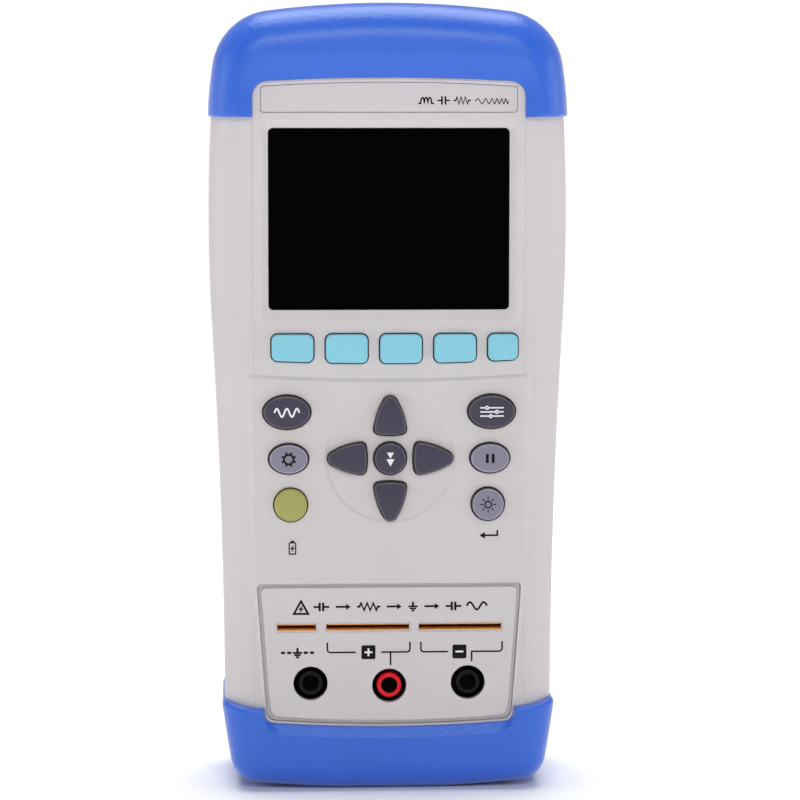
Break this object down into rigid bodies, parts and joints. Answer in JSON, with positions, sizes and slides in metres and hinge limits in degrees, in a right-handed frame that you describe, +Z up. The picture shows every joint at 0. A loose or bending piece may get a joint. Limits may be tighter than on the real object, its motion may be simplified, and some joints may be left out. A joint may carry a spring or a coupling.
{
  "type": "lcr meter",
  "caption": "Handheld meter for inductors, capacitors and resistors: waisted grey case in blue rubber bumpers, display, keypad, sprung test slots and shrouded lead sockets.",
  "frame": {"origin": "middle of the underside of the lower bumper, on which the meter stands, halfway through its depth", "axes": "+Z up the length of the meter, +Y from the display towards the back, +X to the right of someone looking at the display"},
  "size_m": [0.0864, 0.041, 0.19],
  "materials": {
    "case_plastic": "matte moulded ABS, warm light grey",
    "panel_plastic": "matte moulded ABS, warm light grey",
    "stand_plastic": "matte moulded plastic, mid grey",
    "foot_rubber": "soft rubber",
    "bumper_rubber": "satin blue rubber with a fine texture",
    "name_plate_film": "satin printed film",
    "window_glass": "gloss clear window",
    "gasket_foam": "matte foam",
    "sheet_steel": "tinned sheet steel",
    "lcd_glass": "gloss black, switched off",
    "backlight_plastic": "white moulded light guide",
    "flex_film": "polyimide film",
    "keypad_silicone": "matte silicone",
    "black_plastic": "matte moulded plastic",
    "circuit_board": "green solder mask",
    "chip_resin": "matte resin",
    "capacitor_can": "satin can",
    "battery_wrap": "shrink wrap",
    "screw_steel": "zinc-plated",
    "jack_black": "satin black",
    "jack_red": "satin red",
    "socket_brass": "nickelled brass",
    "contact_gold": "gold-plated phosphor bronze",
    "key_light_blue": "satin silicone, light blue",
    "key_pale_grey": "satin silicone, pale grey",
    "key_olive": "satin silicone, yellow-green",
    "key_dark_grey": "satin silicone, dark grey"
  },
  "bodies": {
    "meter": {"analog_chips": "chip_resin", "battery_connector": "black_plastic", "battery_pack": "battery_wrap", "board_capacitors": "capacitor_can", "board_screws": "screw_steel", "buzzer": "black_plastic", "case_screws": "screw_steel", "contact_guard_lower": "contact_gold", "contact_guard_upper": "contact_gold", "contact_high_lower": "contact_gold", "contact_high_upper": "contact_gold", "contact_low_lower": "contact_gold", "contact_low_upper": "contact_gold", "display_gasket": "gasket_foam", "display_window": "window_glass", "front_case": "case_plastic", "jack_post_guard": "jack_black", "jack_post_high": "jack_red", "jack_post_low": "jack_black", "jack_shell_guard": "jack_black", "jack_shell_high": "jack_black", "jack_shell_low": "jack_black", "jack_socket_guard": "socket_brass", "jack_socket_high": "socket_brass", "jack_socket_low": "socket_brass", "keypad_mat": "keypad_silicone", "lcd_backlight": "backlight_plastic", "lcd_bezel": "sheet_steel", "lcd_flex": "flex_film", "lcd_panel": "lcd_glass", "lower_bumper": "bumper_rubber", "main_board": "circuit_board", "name_plate": "name_plate_film", "processor_chip": "chip_resin", "rear_case": "case_plastic", "shield_can": "sheet_steel", "terminal_block": "black_plastic", "terminal_panel": "panel_plastic", "upper_bumper": "bumper_rubber", "usb_socket": "sheet_steel"},
    "key_soft_1": {"key_soft_1": "key_light_blue"},
    "key_soft_2": {"key_soft_2": "key_light_blue"},
    "key_soft_3": {"key_soft_3": "key_light_blue"},
    "key_soft_4": {"key_soft_4": "key_light_blue"},
    "key_soft_5": {"key_soft_5": "key_light_blue"},
    "key_measure": {"key_measure": "key_dark_grey"},
    "key_setup": {"key_setup": "key_dark_grey"},
    "key_system": {"key_system": "key_pale_grey"},
    "key_hold": {"key_hold": "key_pale_grey"},
    "key_power": {"key_power": "key_olive"},
    "key_light": {"key_light": "key_pale_grey"},
    "key_enter": {"key_enter": "key_dark_grey"},
    "key_up": {"key_up": "key_dark_grey"},
    "key_right": {"key_right": "key_dark_grey"},
    "key_down": {"key_down": "key_dark_grey"},
    "key_left": {"key_left": "key_dark_grey"},
    "stand": {"tilt_stand": "stand_plastic", "stand_foot": "foot_rubber"},
    "door": {"battery_door": "case_plastic", "door_screws": "screw_steel"}
  },
  "joints": [
    {"name": "key_soft_1_press", "type": "slide", "parent": "meter", "child": "key_soft_1", "axis": [0, 1, 0], "range_m": [0, 0.0008], "stiffness_N_per_m": 1500},
    {"name": "key_soft_2_press", "type": "slide", "parent": "meter", "child": "key_soft_2", "axis": [0, 1, 0], "range_m": [0, 0.0008], "stiffness_N_per_m": 1500},
    {"name": "key_soft_3_press", "type": "slide", "parent": "meter", "child": "key_soft_3", "axis": [0, 1, 0], "range_m": [0, 0.0008], "stiffness_N_per_m": 1500},
    {"name": "key_soft_4_press", "type": "slide", "parent": "meter", "child": "key_soft_4", "axis": [0, 1, 0], "range_m": [0, 0.0008], "stiffness_N_per_m": 1500},
    {"name": "key_soft_5_press", "type": "slide", "parent": "meter", "child": "key_soft_5", "axis": [0, 1, 0], "range_m": [0, 0.0008], "stiffness_N_per_m": 1500},
    {"name": "key_measure_press", "type": "slide", "parent": "meter", "child": "key_measure", "axis": [0, 1, 0], "range_m": [0, 0.0008], "stiffness_N_per_m": 1500},
    {"name": "key_setup_press", "type": "slide", "parent": "meter", "child": "key_setup", "axis": [0, 1, 0], "range_m": [0, 0.0008], "stiffness_N_per_m": 1500},
    {"name": "key_system_press", "type": "slide", "parent": "meter", "child": "key_system", "axis": [0, 1, 0], "range_m": [0, 0.0008], "stiffness_N_per_m": 1500},
    {"name": "key_hold_press", "type": "slide", "parent": "meter", "child": "key_hold", "axis": [0, 1, 0], "range_m": [0, 0.0008], "stiffness_N_per_m": 1500},
    {"name": "key_power_press", "type": "slide", "parent": "meter", "child": "key_power", "axis": [0, 1, 0], "range_m": [0, 0.0008], "stiffness_N_per_m": 1500},
    {"name": "key_light_press", "type": "slide", "parent": "meter", "child": "key_light", "axis": [0, 1, 0], "range_m": [0, 0.0008], "stiffness_N_per_m": 1500},
    {"name": "key_enter_press", "type": "slide", "parent": "meter", "child": "key_enter", "axis": [0, 1, 0], "range_m": [0, 0.0008], "stiffness_N_per_m": 1500},
    {"name": "key_up_press", "type": "slide", "parent": "meter", "child": "key_up", "axis": [0, 1, 0], "range_m": [0, 0.0008], "stiffness_N_per_m": 1500},
    {"name": "key_right_press", "type": "slide", "parent": "meter", "child": "key_right", "axis": [0, 1, 0], "range_m": [0, 0.0008], "stiffness_N_per_m": 1500},
    {"name": "key_down_press", "type": "slide", "parent": "meter", "child": "key_down", "axis": [0, 1, 0], "range_m": [0, 0.0008], "stiffness_N_per_m": 1500},
    {"name": "key_left_press", "type": "slide", "parent": "meter", "child": "key_left", "axis": [0, 1, 0], "range_m": [0, 0.0008], "stiffness_N_per_m": 1500},
    {"name": "stand_hinge", "type": "hinge", "parent": "meter", "child": "stand", "pos_m": [0, 0.01675, 0.15], "axis": [1, 0, 0], "range_deg": [0, 60]},
    {"name": "door_lift", "type": "slide", "parent": "meter", "child": "door", "axis": [0, 1, 0], "range_m": [0, 0.025]}
  ]
}
